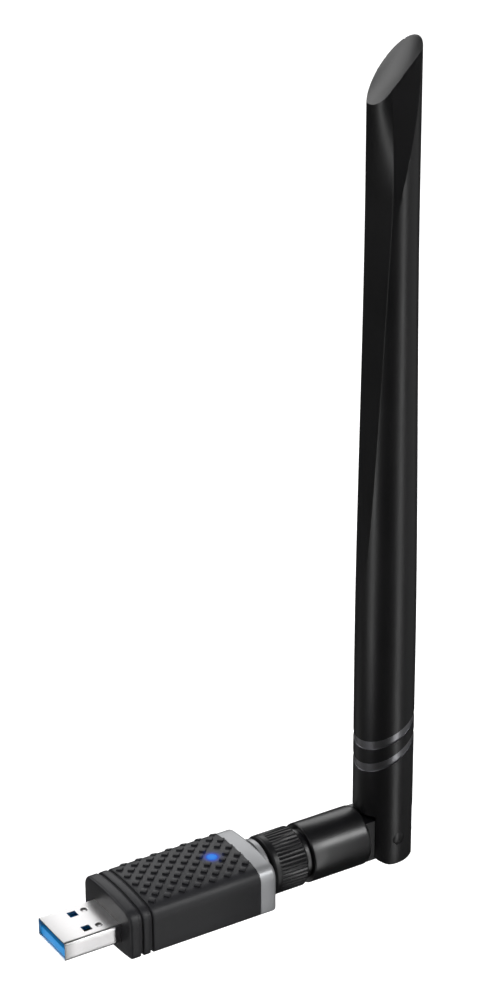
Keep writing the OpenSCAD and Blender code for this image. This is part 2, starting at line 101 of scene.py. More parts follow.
def soft_box(name, place, aim, width, height, watts):
    lamp = bpy.data.lights.new(name, "AREA")
    lamp.shape = "RECTANGLE"
    lamp.size = width
    lamp.size_y = height
    lamp.energy = watts
    box = bpy.data.objects.new(name, lamp)
    bpy.context.scene.collection.objects.link(box)
    away = (Vector(place) - Vector(aim)).normalized()
    box.matrix_world = Matrix.Translation(place) @ away.to_track_quat("Z", "Y").to_matrix().to_4x4()
    box.visible_camera = False


sky = bpy.data.objects.new("sky_panel", bpy.data.lights.new("sky_panel", "SUN"))
sky.data.energy = 4.2
sky.data.angle = math.radians(100)
sky.visible_camera = False
sky.visible_glossy = False
bpy.context.scene.collection.objects.link(sky)
soft_box("rear_box", (0.69, 1.15, 0.68), (0.02, 0, 0), 1.0, 0.8, 4.0)
soft_box("tip_box", (-0.73, 1.15, 0.70), (0.07, 0, 0.18), 0.7, 0.7, 4.6)
soft_box("right_strip", (0.255, -0.585, 0.1), (0.05, 0, 0.1), 0.085, 1.3, 1.15)
soft_box("right_box", (0.95, -0.30, -0.08), (0.05, 0, 0.08), 0.9, 0.8, 0.55)
soft_box("shoulder_box", (0.47, -0.62, 0.51), (0.04, 0, 0), 0.25, 0.25, 1.7)
soft_box("left_strip", (-0.55, -0.05, 0.0), (0.05, 0, 0.05), 0.12, 0.9, 0.8)
soft_box("low_box", (-0.12, 0.32, -0.3), (-0.12, 0.32, 0), 0.3, 0.4, 0.1)


# The case: a moulded black sleeve with a crowned top, two grooves round its front and
# fine grain. It slides over the board from the front and the collar closes it.
def finish(name, colour, rough, metal=0.0, grain=0.0, grain_size=0.2, patches=0.08, patch_size=6.0,
           level=0.5, stretch=(1, 1, 1)):
    """A finish whose colour and gloss wander a little and whose skin has a fine grain, in millimetres."""
    material = bpy.data.materials.new(name)
    material.use_nodes = True
    nodes = material.node_tree.nodes
    links = material.node_tree.links
    shader = nodes["Principled BSDF"]
    shader.inputs["Metallic"].default_value = metal
    shader.inputs["Specular IOR Level"].default_value = level
    place = nodes.new("ShaderNodeTexCoord")
    turn = nodes.new("ShaderNodeMapping")
    turn.inputs["Scale"].default_value = stretch
    links.new(place.outputs["Object"], turn.inputs["Vector"])
    cloud = nodes.new("ShaderNodeTexNoise")
    cloud.inputs["Scale"].default_value = 1 / (patch_size * MM)
    cloud.inputs["Detail"].default_value = 3
    links.new(turn.outputs["Vector"], cloud.inputs["Vector"])
    shade = nodes.new("ShaderNodeValToRGB")
    shade.color_ramp.elements[0].position = 0.3
    shade.color_ramp.elements[1].position = 0.7
    shade.color_ramp.elements[0].color = [c * (1 - patches) for c in colour] + [1]
    shade.color_ramp.elements[1].color = [min(1, c * (1 + patches)) for c in colour] + [1]
    links.new(cloud.outputs["Fac"], shade.inputs["Fac"])
    links.new(shade.outputs["Color"], shader.inputs["Base Color"])
    polish = nodes.new("ShaderNodeMapRange")
    polish.inputs["To Min"].default_value = rough * 0.88
    polish.inputs["To Max"].default_value = rough * 1.12
    links.new(cloud.outputs["Fac"], polish.inputs["Value"])
    links.new(polish.outputs["Result"], shader.inputs["Roughness"])
    if grain:
        speck = nodes.new("ShaderNodeTexNoise")
        speck.inputs["Scale"].default_value = 1 / (grain_size * MM)
        speck.inputs["Detail"].default_value = 4
        links.new(turn.outputs["Vector"], speck.inputs["Vector"])
        bump = nodes.new("ShaderNodeBump")
        bump.inputs["Strength"].default_value = grain
        bump.inputs["Distance"].default_value = 0.02 * MM
        links.new(speck.outputs["Fac"], bump.inputs["Height"])
        links.new(bump.outputs["Normal"], shader.inputs["Normal"])
    return material


def skin(name, count, stations, place, shut=False):
    """A skin grown from a ring of points: each station extrudes the ring and puts it in its place."""
    bpy.ops.object.select_all(action="DESELECT")
    bpy.ops.mesh.primitive_circle_add(vertices=count, radius=MM)
    piece = bpy.context.object
    piece.name = name
    bpy.ops.object.mode_set(mode="EDIT")
    mesh = bmesh.from_edit_mesh(piece.data)
    order = mesh.verts.layers.int.new("order")
    for number, vert in enumerate(mesh.verts):
        vert[order] = number
    for number, station in enumerate(stations):
        if number:
            bpy.ops.mesh.extrude_region_move()
        mesh = bmesh.from_edit_mesh(piece.data)
        order = mesh.verts.layers.int["order"]
        for vert in mesh.verts:
            if vert.select:
                vert.co = place(station, vert[order])
        bmesh.update_edit_mesh(piece.data)
    if shut:
        bpy.ops.mesh.select_all(action="SELECT")
        bpy.ops.mesh.remove_doubles(threshold=0.001 * MM)
    else:
        bpy.ops.mesh.edge_face_add()
        bpy.ops.mesh.select_all(action="DESELECT")
        bpy.ops.mesh.select_non_manifold()
        bpy.ops.mesh.edge_face_add()
    bpy.ops.mesh.select_all(action="SELECT")
    bpy.ops.mesh.normals_make_consistent(inside=False)
    bpy.ops.object.mode_set(mode="OBJECT")
    return piece


def apply_all(piece):
    bpy.ops.object.select_all(action="DESELECT")
    piece.select_set(True)
    bpy.context.view_layer.objects.active = piece
    bpy.ops.object.transform_apply(location=True, rotation=True, scale=True)
    for modifier in list(piece.modifiers):
        bpy.ops.object.modifier_apply(modifier=modifier.name)


def cut(piece, tool, operation="DIFFERENCE"):
    hole = piece.modifiers.new("hole", "BOOLEAN")
    hole.object = tool
    hole.operation = operation
    hole.solver = "EXACT"
    apply_all(piece)
    bpy.data.objects.remove(tool)


def stock(kind, name, place, size, turn=(0, 0, 0), sides=48):
    """A block or a rod to shape or to cut with, its size and place in millimetres."""
    bpy.ops.object.select_all(action="DESELECT")
    at = [c * MM for c in place]
    if kind == "block":
        bpy.ops.mesh.primitive_cube_add(size=1, location=at, rotation=turn, scale=[c * MM for c in size])
    else:
        bpy.ops.mesh.primitive_cylinder_add(vertices=sides, radius=size[0] * MM, depth=size[1] * MM,
                                            location=at, rotation=turn)
    piece = bpy.context.object
    piece.name = name
    bpy.ops.object.transform_apply(location=True, rotation=True, scale=True)
    return piece


def done(piece, body, material, nodes, smooth=35):
    apply_all(piece)
    bpy.ops.object.shade_smooth_by_angle(angle=math.radians(smooth))
    piece.data.materials.clear()
    piece.data.materials.append(material)
    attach(piece, body)
    if nodes:
        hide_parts(*nodes)


def span(node):
    low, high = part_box(node)
    return [c / MM for c in low], [c / MM for c in high]


case_low, case_high = span("housing_sleeve")
case_w = case_high[1] - case_low[1]
crown_top = case_high[2]
belly = -case_low[2]
arc_r = 56.0
top_corner = 3.0
low_corner = 0.8
sharpest = 0.3
wall = 1.4


def quarter_turns(steps):
    """Angles over a quarter of a circle, both ends included."""
    return [math.pi / 2 * n / steps for n in range(steps + 1)]


def cushion(inset, arc=18, corner=9, flank=4, foot=5):
    """Half outline of the case from the middle of its crown round to the middle of its belly."""
    half = case_w / 2 - inset
    turns = []
    upper_r = max(sharpest, top_corner - inset)
    lower_r = max(sharpest, low_corner - inset)
    for rise, radius, steps in ((1, upper_r, corner), (-1, lower_r, foot)):
        centre = crown_top - arc_r if rise > 0 else arc_r - belly
        big = arc_r - inset
        yf = half - radius
        tilt = math.asin(yf / (big - radius))
        zf = centre + rise * (big - radius) * math.cos(tilt)
        line = [(big * math.sin(tilt * n / arc), centre + rise * big * math.cos(tilt * n / arc))
                for n in range(arc + 1)]
        bend = [(yf + radius * math.sin(tilt + (math.pi / 2 - tilt) * n / steps),
                 zf + rise * radius * math.cos(tilt + (math.pi / 2 - tilt) * n / steps))
                for n in range(1, steps + 1)]
        turns.append(line + bend)
    upper, lower = turns
    z0, z1 = upper[-1][1], lower[-1][1]
    side_line = [(half, z0 + (z1 - z0) * n / (flank + 1)) for n in range(1, flank + 1)]
    return upper + side_line + lower[::-1]


def round_outline(half):
    """The whole outline: the half, then its mirror image back to the start."""
    return half + [(-y, z) for y, z in half[-2:0:-1]]


case_outlines = {}


def case_point(station, number):
    x, inset = station
    if inset not in case_outlines:
        case_outlines[inset] = round_outline(cushion(inset))
    y, z = case_outlines[inset][number]
    return Vector((x, y, z)) * MM


case_count = len(round_outline(cushion(0)))
plug_low, plug_high = span("usb_shell")


def plug_hole(number, grow=0.02):
    """The plug's rectangular outline, each point in the direction of the case's own."""
    y, z = round_outline(cushion(0))[number]
    half_w = plug_high[1] + grow
    half_h = plug_high[2] + grow
    reach = max(abs(y) / half_w, abs(z) / half_h)
    return y / reach, z / reach


def case_or_hole(station, number):
    if station[1] == "hole":
        y, z = plug_hole(number)
        return Vector((station[0], y, z)) * MM
    return case_point(station, number)


def rounded_step(x, first, last, lip_r=0.24, floor_r=0.08, steps=4):
    """Stations of one edge of a groove: widely rounded at its lip, tightly at its floor."""
    down = last > first
    before, after = (lip_r, floor_r) if down else (floor_r, lip_r)
    way = 1 if down else -1
    turns = quarter_turns(steps)
    out = [(x - before + before * math.sin(a), first + way * before * (1 - math.cos(a))) for a in turns]
    out += [(x + after * (1 - math.cos(a)), last - way * after * (1 - math.sin(a))) for a in turns]
    return out


case_len = case_high[0]
groove = 0.55
nose_r = 0.6
face_inset = 2.2
groove_edges = ((2.52, 3.18), (4.87, 5.53))
nose = [(nose_r * (1 - math.cos(a)), nose_r * (1 - math.sin(a))) for a in quarter_turns(6)]
case_stations = [(0.0, "hole"), (0.0, face_inset)] + nose
for front, rear in groove_edges:
    case_stations += rounded_step(front, 0, groove) + rounded_step(rear, groove, 0)
case_stations += [(6.4, 0), (18, 0), (case_len - 0.2, 0), (case_len - 0.06, 0.04), (case_len, 0.15)]
case_stations += [(case_len, wall), (wall, wall), (wall, "hole"), (0.0, "hole")]
case_black = finish("case_black", (0.011, 0.011, 0.0125), 0.44, grain=0.35, grain_size=0.16, patches=0.06)
case_shell = skin("case_shell", case_count, case_stations, case_or_hole, shut=True)
lamp_low, lamp_high = span("led_window")
lamp_x = (lamp_low[0] + lamp_high[0]) / 2
lamp_r = (lamp_high[0] - lamp_low[0]) / 2
cut(case_shell, stock("rod", "lamp_hole", (lamp_x, 0, crown_top), (lamp_r + 0.02, 6)))
done(case_shell, "adapter", case_black, ["housing_sleeve"])

# The studs: low four-sided bosses moulded in rows on the crown for grip, their corners
# towards the plug and the antenna. They are one moulding with the case.
def soften(piece, width, segments=2, angle=30):
    bevel = piece.modifiers.new("soft_edges", "BEVEL")
    bevel.width = width * MM
    bevel.segments = segments
    bevel.limit_method = "ANGLE"
    bevel.angle_limit = math.radians(angle)
    bevel.harden_normals = False


stud_side = 1.48
stud_rise = 0.4
stud_first = 6.9
stud_step = 1.87
stud_pitch = 3.47
stud_columns = 14
stud_near = 7.6
stud_far = 8.5
stud_sunk = 0.25
corner_y = case_w / 2 - top_corner
corner_z = crown_top - arc_r + math.sqrt((arc_r - top_corner) ** 2 - corner_y ** 2)


def stud_foot(y):
    """Where a stud stands on the crown or on its rounded edge, and how far it leans."""
    if abs(y) <= corner_y + 0.4:
        return crown_top - arc_r + math.sqrt(arc_r ** 2 - y ** 2), math.asin(y / arc_r)
    lean = math.asin((abs(y) - corner_y) / top_corner)
    return corner_z + top_corner * math.cos(lean) - stud_sunk, math.copysign(lean, y)


stud = stock("block", "stud", (0, 0, 0), (stud_side, stud_side, stud_rise + 0.3), (0, 0, math.pi / 4))
bpy.ops.object.mode_set(mode="EDIT")
mesh = bmesh.from_edit_mesh(stud.data)
for face in mesh.faces:
    face.select_set(face.normal.z > 0.9)
bmesh.update_edit_mesh(stud.data)
bpy.ops.transform.resize(value=(0.88, 0.88, 1), center_override=(0, 0, 0))
bpy.ops.object.mode_set(mode="OBJECT")
soften(stud, 0.05, 2)
apply_all(stud)
studs = []
for column in range(stud_columns):
    for row in range(-3, 4):
        x = stud_first + stud_step * column
        y = stud_pitch * (row + (0.5 if column % 2 else 0)) - 0.3
        if y < -stud_near or y > stud_far or math.hypot(x - lamp_x, y) < lamp_r + 1.0:
            continue
        copy = bpy.data.objects.new("stud_copy", stud.data.copy())
        bpy.context.scene.collection.objects.link(copy)
        z, tilt = stud_foot(y)
        foot = Vector((x, y, z)) * MM
        sink = Matrix.Translation((0, 0, (stud_rise / 2 - 0.15) * MM))
        copy.data.transform(Matrix.Translation(foot) @ Matrix.Rotation(-tilt, 4, "X") @ sink)
        studs.append(copy)
bpy.data.objects.remove(stud)
bpy.ops.object.select_all(action="DESELECT")
for copy in studs:
    copy.select_set(True)
bpy.context.view_layer.objects.active = studs[0]
bpy.ops.object.join()
crown_studs = bpy.context.object
crown_studs.name = "crown_studs"
done(crown_studs, "adapter", case_black, [])

# The lamp: a clear blue light guide whose round end lies flush in the crown, and the
# glowing lens under it.
def glow(material, colours, reach):
    """Light that spreads from the lamp's middle and fades, as it does in the moulding round it; on the case
    it is a painted glow.
    """
    nodes = material.node_tree.nodes
    links = material.node_tree.links
    place = nodes.new("ShaderNodeTexCoord")
    away = nodes.new("ShaderNodeVectorMath")
    away.operation = "DISTANCE"
    away.inputs[1].default_value = (lamp_x * MM, 0, crown_top * MM)
    near = nodes.new("ShaderNodeMapRange")
    near.inputs["From Max"].default_value = reach * MM
    fade = nodes.new("ShaderNodeValToRGB")
    fade.color_ramp.elements[0].color = (*colours[0][1], 1)
    fade.color_ramp.elements[1].color = (0, 0, 0, 1)
    for position, colour in colours[1:]:
        fade.color_ramp.elements.new(position).color = (*colour, 1)
    links.new(place.outputs["Object"], away.inputs[0])
    links.new(away.outputs["Value"], near.inputs["Value"])
    links.new(near.outputs["Result"], fade.inputs["Fac"])
    links.new(fade.outputs["Color"], nodes["Principled BSDF"].inputs["Emission Color"])
    nodes["Principled BSDF"].inputs["Emission Strength"].default_value = 1.0


lamp_glow = finish("lamp_blue", (0.01, 0.06, 0.25), 0.5, patches=0.1, patch_size=0.8, level=0.2)
glow(lamp_glow, [(0, (0.008, 0.15, 0.40)), (0.3, (0.006, 0.11, 0.36)), (0.55, (0.002, 0.03, 0.27))], 2.6)
# The case round the lamp gets a painted glow: the lamp's blue light, painted as emission in the case's
# finish, fading outwards.
glow(case_black, [(0, (0, 0.02, 0.35)), (0.45, (0.003, 0.035, 0.34)), (0.7, (0.001, 0.006, 0.05))], 2.9)
lamp_lens = stock("rod", "lamp_lens", (lamp_x, 0, (lamp_low[2] + crown_top) / 2),
                  (lamp_r, crown_top - lamp_low[2] + 0.06), sides=48)
soften(lamp_lens, 0.12, 3)
done(lamp_lens, "adapter", lamp_glow, ["led_window"])

# The plug: a nickel-plated steel shell folded into a flat tube, with two latch windows
# in each wide face, two pressed dimples beside them and a seam underneath.
plug_w = plug_high[1] - plug_low[1]
plug_h = plug_high[2] - plug_low[2]
sheet_t = 0.32
lip_r = 0.1


def flat_tube(number, inset, corner=6, wide=30, narrow=6):
    """A point of the plug's outline, round at its four corners, moved in by the inset."""
    per_side = {0: wide, 1: narrow, 2: wide, 3: narrow}
    radius = 0.6 - inset
    half_w = plug_w / 2 - inset
    half_h = plug_h / 2 - inset
    corners = [(1, 1), (1, -1), (-1, -1), (-1, 1)]
    for quarter, (sy, sz) in enumerate(corners):
        centre = Vector((sy * (half_w - radius), sz * (half_h - radius)))
        start = math.pi / 2 - math.pi / 2 * quarter
        if number <= corner:
            a = start - math.pi / 2 * number / corner
            return centre + Vector((math.cos(a), math.sin(a))) * radius
        number -= corner + 1
        steps = per_side[(quarter + 1) % 4] - 1
        if number < steps:
            ny, nz = corners[(quarter + 1) % 4]
            following = Vector((ny * (half_w - radius), nz * (half_h - radius)))
            a = start - math.pi / 2
            out = Vector((math.cos(a), math.sin(a))) * radius
            return centre.lerp(following, (number + 1) / (steps + 1)) + out
        number -= steps
    raise ValueError("the outline has fewer points")


def plug_point(station, number):
    y, z = flat_tube(number, station[1])
    return Vector((station[0], y, z)) * MM


plug_count = 4 * 7 + 2 * 29 + 2 * 5
mouth = plug_low[0]
inner_edge = 0.06
lip = [(mouth + lip_r * (1 - math.cos(a)), lip_r * (1 - math.sin(a))) for a in quarter_turns(4)]
plug_stations = [(mouth, sheet_t - inner_edge)] + lip + [(mouth + 4, 0), (0, 0), (plug_high[0], 0)]
plug_stations += [(plug_high[0], sheet_t), (mouth + inner_edge, sheet_t), (mouth, sheet_t - inner_edge)]
plug_shell = skin("plug_shell", plug_count, plug_stations, plug_point, shut=True)
window_x, window_y, window_side = -6.75, 3.05, 2.0
for y in (-window_y, window_y):
    cut(plug_shell, stock("block", "window", (window_x, y, 0), (window_side, window_side, 8)))
dimple_x, dimple_y, dimple_ball, dimple_lift = -3.9, 3.3, 1.5, 1.26
for y in (-dimple_y, dimple_y):
    for z in (-1, 1):
        bpy.ops.object.select_all(action="DESELECT")
        place = Vector((dimple_x, y, z * (plug_h / 2 + dimple_lift))) * MM
        bpy.ops.mesh.primitive_uv_sphere_add(segments=64, ring_count=32, radius=dimple_ball * MM,
                                             location=place)
        dimple = bpy.context.object
        bpy.ops.object.transform_apply(location=True, rotation=True, scale=True)
        cut(plug_shell, dimple)
cut(plug_shell, stock("block", "seam", (mouth / 2, 0, -plug_h / 2), (-mouth + 2, 0.07, 0.24)))
nickel = finish("plug_nickel", (0.90, 0.89, 0.89), 0.32, metal=1.0, grain=0.06, grain_size=0.5,
                patches=0.02, stretch=(0.15, 1, 1))
done(plug_shell, "adapter", nickel, ["usb_shell"], smooth=30)


# The tongue: a blue moulding that fills the lower half of the plug and carries its
# contacts. It is pressed in from behind, and its corners are softly rounded.
def take_over(node, name, body, material, edge, smooth=35):
    """A part that the frame holds in its full shape, copied and with its corners broken."""
    piece = bpy.data.objects.new(name, frame["nodes"][node].data.copy())
    bpy.context.scene.collection.objects.link(piece)
    bpy.ops.object.select_all(action="DESELECT")
    piece.select_set(True)
    bpy.context.view_layer.objects.active = piece
    bpy.ops.object.mode_set(mode="EDIT")
    bpy.ops.mesh.select_all(action="SELECT")
    bpy.ops.mesh.remove_doubles(threshold=0.002 * MM)
    bpy.ops.mesh.dissolve_limited(angle_limit=math.radians(1))
    bpy.ops.object.mode_set(mode="OBJECT")
    soften(piece, edge)
    done(piece, body, material, [node], smooth)
    return piece


plug_blue = finish("plug_blue", (0.02, 0.27, 0.66), 0.35, grain=0.1, grain_size=0.3, patches=0.05)
take_over("usb_tongue", "plug_tongue", "adapter", plug_blue, 0.08)

# The collar: a moulded trim ring in satin silver that closes the case. Its back swells
# into a round boss on the antenna jack's axis.
collar_high = span("rear_collar")[1]
jack_low, jack_high = span("rf_jack_body")
axis_z = (jack_low[2] + jack_high[2]) / 2
jack_r = (jack_high[2] - jack_low[2]) / 2
collar_back = 36.3
collar_edge = 0.9
boss_r = 6.6
boss_edge = 0.35
boss_back = collar_high[0]


def collar_point(station, number):
    x, kind, amount = station
    if kind == "case":
        return case_point((x, amount), number)
    y, z = round_outline(cushion(0))[number]
    reach = math.hypot(y, z - axis_z)
    return Vector((x, y / reach * amount, axis_z + (z - axis_z) / reach * amount)) * MM


rim_inset = wall + 1.0
front_edge = 0.1
collar_bore = jack_r + 0.1
floor_x = collar_back - 1.2
collar_stations = [(case_len, "case", rim_inset), (case_len, "case", front_edge),
                   (case_len + front_edge, "case", 0.0), (case_len + 1.5, "case", 0.0)]
for a in quarter_turns(6):
    inset = collar_edge * (1 - math.cos(a))
    collar_stations.append((collar_back - collar_edge * (1 - math.sin(a)), "case", inset))
collar_stations += [(collar_back, "round", boss_r), (boss_back - boss_edge, "round", boss_r)]
for a in quarter_turns(5)[1:]:
    radius = boss_r - boss_edge * (1 - math.cos(a))
    collar_stations.append((boss_back - boss_edge * (1 - math.sin(a)), "round", radius))
collar_stations += [(boss_back, "round", collar_bore), (floor_x, "round", collar_bore),
                    (floor_x, "case", rim_inset), (case_len, "case", rim_inset)]
collar_silver = finish("collar_silver", (0.37, 0.375, 0.385), 0.40, metal=0.75, grain=0.12, grain_size=0.12,
                       patches=0.03)
collar_trim = skin("collar_trim", case_count, collar_stations, collar_point, shut=True)
done(collar_trim, "adapter", collar_silver, ["rear_collar"], smooth=30)

# The jack: gold-plated brass with a fine screw thread, clamped in the collar. The nut
# hides it until the antenna is unscrewed.
thread_pitch = 0.7056
thread_depth = 0.32
thread_sides = 48
thread_steps = 8
jack_end = jack_high[0]
thread_start = boss_back - 1.0


def thread_point(station, number):
    x, radius, fade = station
    a = 2 * math.pi * number / thread_sides
    turn = (x / thread_pitch + number / thread_sides) % 1
    if fade:
        radius -= fade * thread_depth * abs(2 * turn - 1)
    return Vector((x, radius * math.sin(a), axis_z + radius * math.cos(a))) * MM


jack_root = jack_low[0] + 1.2
insulator_bore = 2.06
mouth_bore, mouth_deep = 2.33, 1.9
thread_run = int((jack_end - 0.3 - thread_start) / thread_pitch * thread_steps)
thread_stations = [(jack_root, insulator_bore, 0), (jack_root, jack_r, 0), (thread_start, jack_r, 0)]
thread_stations += [(thread_start + n * thread_pitch / thread_steps, jack_r, min(1, n / 8))
                    for n in range(1, thread_run)]
thread_stations += [(jack_end - 0.25, jack_r - thread_depth, 0), (jack_end, jack_r - thread_depth - 0.2, 0),
                    (jack_end, mouth_bore, 0), (jack_end - mouth_deep, mouth_bore, 0),
                    (jack_end - mouth_deep, insulator_bore, 0), (jack_root, insulator_bore, 0)]
gold = finish("jack_gold", (0.83, 0.60, 0.24), 0.26, metal=1.0, grain=0.1, grain_size=0.2, patches=0.04)
jack_thread = skin("jack_thread", thread_sides, thread_stations, thread_point, shut=True)
done(jack_thread, "adapter", gold, ["rf_jack_body"], smooth=40)

# The nut's grip: a black ring pressed on the brass nut, with a smooth rim in front and
# fine ribs round the rest, so that fingers can tighten it.
grip_low, grip_high = span("grip_ring")
grip_r = (grip_high[1] - grip_low[1]) / 2
grip_bore = 4.6
rib_count = 44
rib_depth = 0.24
rib_shape = (0, 0, 0, 0.55, 1, 0.55)
rim_l = 1.5


def grip_point(station, number):
    x, radius, ribbed = station
    a = 2 * math.pi * number / (rib_count * len(rib_shape))
    radius -= ribbed * rib_depth * rib_shape[number % len(rib_shape)]
    return Vector((x, radius * math.sin(a), axis_z + radius * math.cos(a))) * MM


def turned_edge(x, radius, edge, way, steps=5):
    """Stations over a round corner, way 1 towards a face in front and -1 at the back."""
    turns = quarter_turns(steps)
    if way > 0:
        return [(x + edge * (1 - math.sin(a)), radius - edge * (1 - math.cos(a))) for a in turns[::-1]]
    return [(x - edge * (1 - math.sin(a)), radius - edge * (1 - math.cos(a))) for a in turns]


rim = grip_low[0] + rim_l
grip_stations = [(grip_low[0], grip_bore, 0)]
grip_stations += [(x, r, 0) for x, r in turned_edge(grip_low[0], grip_r, 0.5, 1)]
grip_stations += [(rim - 0.15, grip_r, 0), (rim, grip_r, 0)]
grip_stations += [(rim + 0.25, grip_r, 1), (grip_high[0] - 2, grip_r, 1)]
grip_stations += [(x, r, 1) for x, r in turned_edge(grip_high[0], grip_r, 0.35, -1)]
grip_stations += [(grip_high[0], grip_bore, 0), (grip_low[0], grip_bore, 0)]
grip_black = finish("grip_black", (0.004, 0.004, 0.0045), 0.38, grain=0.15, grain_size=0.12, level=0.6)
grip = skin("grip_sleeve", rib_count * len(rib_shape), grip_stations, grip_point, shut=True)
done(grip, "nut", grip_black, ["grip_ring"], smooth=28)
brass = finish("nut_brass", (0.80, 0.58, 0.24), 0.30, metal=1.0, grain=0.15, grain_size=0.15, patches=0.05)
take_over("coupling_nut", "nut_body", "nut", brass, 0.12)
take_over("connector_ferrule", "ferrule_body", "connector", gold, 0.04)

# The swivel barrel: a black moulding that turns on the ferrule. Its back carries the
# hinge tongue, slotted up the middle for the cable.
barrel_low, barrel_high = span("swivel_barrel")
barrel_r = (barrel_high[1] - barrel_low[1]) / 2
tilt_joint = [j for j in frame["record"]["behaviour"]["joints"] if j["name"] == "tilt"][0]
hinge_x = tilt_joint["pos_m"][0] / MM
neck_front = barrel_low[0]
neck_r = 5.7
barrel_front = neck_front + 1.3
barrel_back = barrel_front + 15.0
ferrule_bore = 3.4
cable_bore = 1.0
tongue_r = barrel_high[0] - hinge_x
tongue_w = 8.8
slot_half = 1.4
barrel_sides = 120


def barrel_point(station, number):
    a = 2 * math.pi * number / barrel_sides
    return Vector((station[0], station[1] * math.sin(a), axis_z + station[1] * math.cos(a))) * MM


barrel_stations = [(neck_front, ferrule_bore)] + turned_edge(neck_front, neck_r, 0.2, 1, 3)
barrel_stations += [(barrel_front, neck_r)]
barrel_stations += turned_edge(barrel_front, barrel_r, 0.35, 1, 4) + [(barrel_front + 4, barrel_r)]
barrel_stations += turned_edge(barrel_back, barrel_r, 1.0, -1, 8)
barrel_stations += [(barrel_back, cable_bore), (barrel_front + 6, cable_bore),
                    (barrel_front + 6, ferrule_bore), (neck_front, ferrule_bore)]
barrel = skin("swivel_body", barrel_sides, barrel_stations, barrel_point, shut=True)
tongue = stock("block", "hinge_tongue", ((barrel_back + hinge_x) / 2 - 0.5, 0, axis_z),
               (hinge_x - barrel_back + 1, tongue_w, 2 * tongue_r))
cut(tongue, stock("rod", "tongue_end", (hinge_x, 0, axis_z), (tongue_r, tongue_w),
                  (math.pi / 2, 0, 0), 96), "UNION")
cut(tongue, stock("block", "cable_slot", (hinge_x + 1, 0, axis_z + 3.5), (9.6, 2 * slot_half, 9.8)))
soften(tongue, 0.2, 3)
cut(barrel, tongue, "UNION")
barrel_black = finish("barrel_black", (0.003, 0.003, 0.0035), 0.32, grain=0.12, grain_size=0.14, level=1.0)
done(barrel, "swivel", barrel_black, ["swivel_barrel"], smooth=28)

# The antenna's rod: one long black moulding, round at the foot, with a long flat that
# climbs its side, a face flattened towards the slanted tip and two slanted grooves.
rod_low, rod_high = span("antenna_sleeve")
rod_r = (rod_high[1] - rod_low[1]) / 2
rod_tip_r = 5.58
rod_l = 176.4
tip_angle = math.radians(52)
loft_z0, loft_l = 42.0, 112.0
flat_z0, flat_fade, flat_slope, flat_edge_x, flat_far = 53.0, 11.0, 0.0406, 6.9, 124.0
front_z0, front_len, front_cut, turn_rate = 143.0, 35.0, 4.0, 2.25
bulge, bulge_z0 = 1.0, 150.0
arc_n, flat_n, front_n = 72, 24, 16
rod_count = arc_n + flat_n + front_n


def limited(t):
    return max(0.0, min(1.0, t))


foot_edge = 0.7


def rod_radius(z):
    t = limited((z - loft_z0) / loft_l)
    low = limited((foot_edge - rod_r - z) / foot_edge)
    return rod_r - (rod_r - rod_tip_r) * t * t * (3 - 2 * t) - foot_edge * (1 - math.sqrt(1 - low * low))


def on_round(r, degrees):
    a = math.radians(degrees)
    return Vector((r * math.sin(a), -r * math.cos(a)))


def edge_x(z):
    return min(flat_edge_x - flat_slope * (z - flat_z0), rod_radius(z) * math.cos(math.radians(11)))


def edge_turn(z):
    return -math.degrees(math.asin(edge_x(z) / rod_radius(z)))


def rod_point(z, number):
    r = rod_radius(z)
    x = edge_x(z)
    near_turn = edge_turn(z)
    far_turn = max(-flat_far, -180 - near_turn)
    front_turn = max(near_turn + 10, edge_turn(front_z0) + (z - front_z0) * turn_rate)
    near = Vector((-x, -math.sqrt(r * r - x * x) + front_cut * limited((z - front_z0) / front_len) ** 2))
    far = on_round(r, far_turn)
    flat = limited((z - flat_z0) / flat_fade)
    front = limited((z - front_z0) / 6)
    if number < arc_n:
        p = on_round(r, front_turn + (360 + far_turn - front_turn) * number / arc_n)
    elif number < arc_n + flat_n:
        t = (number - arc_n) / flat_n
        arc_p = on_round(r, far_turn + (near_turn - far_turn) * t)
        out = Vector((near.y - far.y, far.x - near.x)).normalized()
        swell = bulge * limited((z - bulge_z0) / 22) * 4 * t * (1 - t)
        p = arc_p.lerp(far.lerp(near, t) + out * swell, flat)
    else:
        t = (number - arc_n - flat_n) / front_n
        arc_p = on_round(r, near_turn + (front_turn - near_turn) * t)
        p = arc_p.lerp(near.lerp(on_round(r, front_turn), t), max(flat, front) if t == 0 else front)
    return Vector((hinge_x + p.x, p.y, axis_z + z)) * MM


rod_stations = [foot_edge * (1 - math.sin(a)) - rod_r for a in quarter_turns(6)[::-1]]
rod_stations += [0, 8, 14, 18, 34, loft_z0] + [loft_z0 + 2.0 * n for n in range(1, 74)]
rod = skin("antenna_rod", rod_count, rod_stations, rod_point)
crease = arc_n + flat_n
crease_r = 0.35
order = [entry.value for entry in rod.data.attributes["order"].data]
weight = rod.data.attributes.new("bevel_weight_edge", "FLOAT", "EDGE")
for edge in rod.data.edges:
    on_crease = all(order[v] == crease for v in edge.vertices)
    high = all(rod.data.vertices[v].co.z > (flat_z0 + 8) * MM for v in edge.vertices)
    weight.data[edge.index].value = 1.0 if on_crease and high else 0.0
rounding = rod.modifiers.new("crease", "BEVEL")
rounding.limit_method = "WEIGHT"
rounding.width = crease_r * MM
rounding.segments = 4
apply_all(rod)


def slice_rod(height, slope, clear=False):
    """Cuts the rod along a plane that leans in X, and clears what is above it if told to."""
    bpy.ops.object.select_all(action="DESELECT")
    rod.select_set(True)
    bpy.context.view_layer.objects.active = rod
    bpy.ops.object.mode_set(mode="EDIT")
    bpy.ops.mesh.select_all(action="SELECT")
    bpy.ops.mesh.bisect(plane_co=(hinge_x * MM, 0, (axis_z + height) * MM),
                        plane_no=(-math.sin(slope), 0, math.cos(slope)),
                        use_fill=clear, clear_outer=clear)
    bpy.ops.object.mode_set(mode="OBJECT")


